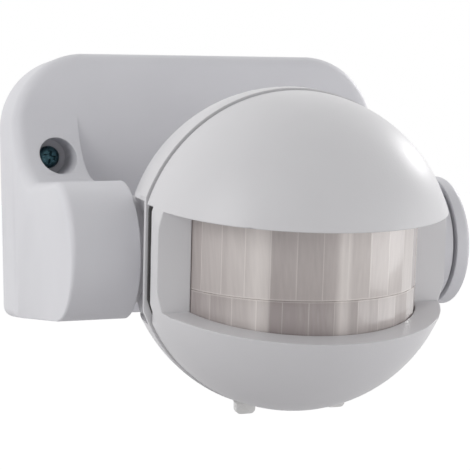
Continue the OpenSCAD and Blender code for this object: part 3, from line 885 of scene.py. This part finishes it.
def makeRearShell():
    h = head
    shell = addBall("rearShell", (h["rear"],) * 3)
    cutOff(shell, (0, h["rearRim"], 0), (0, -1, 0))
    cutOff(shell, (0, h["backCut"], 0), (0, 1, 0))
    for side in (-1, 1):
        cutOff(shell, (side * h["flat"], 0, 0), (side, 0, 0))
    hollow = addBall("hollow", (h["rear"] - h["wall"],) * 3)
    cutOff(hollow, (0, h["backCut"] - h["wall"], 0), (0, 1, 0))
    cutOff(hollow, (0, h["rearRim"] - 4, 0), (0, -1, 0))
    for side in (-1, 1):
        cutOff(hollow, (side * 31.8, 0, 0), (side, 0, 0))
    cheekWall = addBlock("cheekWall", (h["cheekX"] - h["wall"], -10, h["cheekBottom"] - h["wall"]),
                         (45, 45, h["cheekTop"] + h["wall"]))
    combine(hollow, mirrored(cheekWall), "DIFFERENCE")
    combine(shell, hollow, "DIFFERENCE")
    cheek = addBlock("cheek", (h["cheekX"], h["rearRim"] + 1.2, h["cheekBottom"]), (45, 45, h["cheekTop"]))
    combine(shell, mirrored(cheek), "DIFFERENCE")
    step = addBlock("step", (h["stepX"], 1, -50), (45, 50, 50))
    combine(shell, mirrored(step), "DIFFERENCE")
    collar = addRod("collar", "x", h["cheekX"] - 1, h["collarX"], h["collar"], (axleY, axleZ))
    trunnion = addRod("trunnion", "x", h["collarX"] - 1, h["trunnionEnd"], h["trunnion"], (axleY, axleZ))
    combine(collar, trunnion, "UNION")
    combine(shell, mirrored(collar), "UNION")
    bore = addRod("bore", "x", 25, 50, h["bore"], (axleY, axleZ))
    combine(shell, mirrored(bore), "DIFFERENCE")
    for z in (-h["postZ"], h["postZ"]):
        post = addRod("post", "y", h["rearRim"], 26, 4.4, (h["postX"], z), sides=64)
        combine(post, addBall("cap", (h["rear"] - h["wall"] / 2,) * 3, around=96, along=48), "INTERSECT")
        combine(shell, mirrored(post), "UNION")
        well = addRod("well", "y", h["postSeat"], 40, 3.2, (h["postX"], z), sides=64)
        combine(shell, mirrored(well), "DIFFERENCE")
        hole = addRod("hole", "y", -10, h["postSeat"] + 1, 1.7, (h["postX"], z), sides=32)
        combine(shell, mirrored(hole), "DIFFERENCE")
    for x in h["knobX"]:
        hole = addRod("hole", "z", -45, -30, 2.58, (x, h["knobY"]), sides=48)
        combine(shell, hole, "DIFFERENCE")
    smooth(shell, 0.01)
    onHead(shell)
    paint(shell, shellPlastic)
    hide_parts("rear_shell")
    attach(shell, "head")


makeFrontShell()
makeRearShell()
print("head shells made")


# ---------- lens ----------

lens = {
    "radius": 29.2, "wall": 0.9, "sides": 32, "seamTurn": 2.6,
    "top": 12.6, "rowSplit": -6.5, "bottom": -15.8, "back": -8.5,
}


def makeLens():
    v = lens
    halfStep = 180 / v["sides"]
    # two rows of flat facets, the lower row turned by half a facet
    piece = addRod("fresnelLens", "z", v["rowSplit"] + 0.05, v["top"], v["radius"] + 0.1, (0, head["domeY"]),
                   sides=v["sides"], turn=v["seamTurn"])
    lower = addRod("lowerRow", "z", v["bottom"], v["rowSplit"] - 0.05, v["radius"] + 0.1, (0, head["domeY"]),
                   sides=v["sides"], turn=v["seamTurn"] + halfStep)
    waist = addRod("waist", "z", v["rowSplit"] - 1, v["rowSplit"] + 1, v["radius"] - 0.25, (0, head["domeY"]), sides=128)
    combine(piece, lower, "UNION")
    combine(piece, waist, "UNION")
    core = addRod("core", "z", v["bottom"] - 1, v["top"] + 1, v["radius"] - v["wall"], (0, head["domeY"]), sides=128)
    combine(piece, core, "DIFFERENCE")
    cutOff(piece, (0, v["back"], 0), (0, 1, 0))
    soften(piece, 0.06, 2, 8)
    onHead(piece)
    paint(piece, milkyLens)
    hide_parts("fresnel_lens")
    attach(piece, "head")


makeLens()
print("lens made")


# ---------- knobs ----------

knob = {"stem": 2.5, "top": -29, "neck": -37.4, "tip": -40.3, "half": 1.1}


def makeKnob(name, node, x):
    v = knob
    y = head["knobY"]
    piece = addRod(name, "z", v["neck"], v["top"] + 1.3, v["stem"], (x, y), sides=48)
    flange = addRod("flange", "z", v["top"] + 1.2, -25.8, 3.6, (x, y), sides=48)
    combine(piece, flange, "UNION")
    shaft = addRod("shaft", "z", -25.9, -22.2, 1.5, (x, y), sides=32)
    combine(piece, shaft, "UNION")
    blade = addBlock("blade", (x - v["stem"] + 0.05, y - v["half"], v["tip"]), (x + v["stem"] - 0.05, y + v["half"], v["neck"] + 0.2))
    bevelEdges(blade, lambda a, b: abs(a.y - b.y) > 1 and max(a.z, b.z) < v["tip"] + 0.1, 1.2, 8)
    combine(piece, blade, "UNION")
    soften(piece, 0.18, 3, 30)
    onHead(piece)
    paint(piece, naturalNylon)
    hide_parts(node)
    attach(piece, node)


makeKnob("timeKnob", "time_knob", head["knobX"][0])
makeKnob("luxKnob", "lux_knob", head["knobX"][1])
print("knobs made")
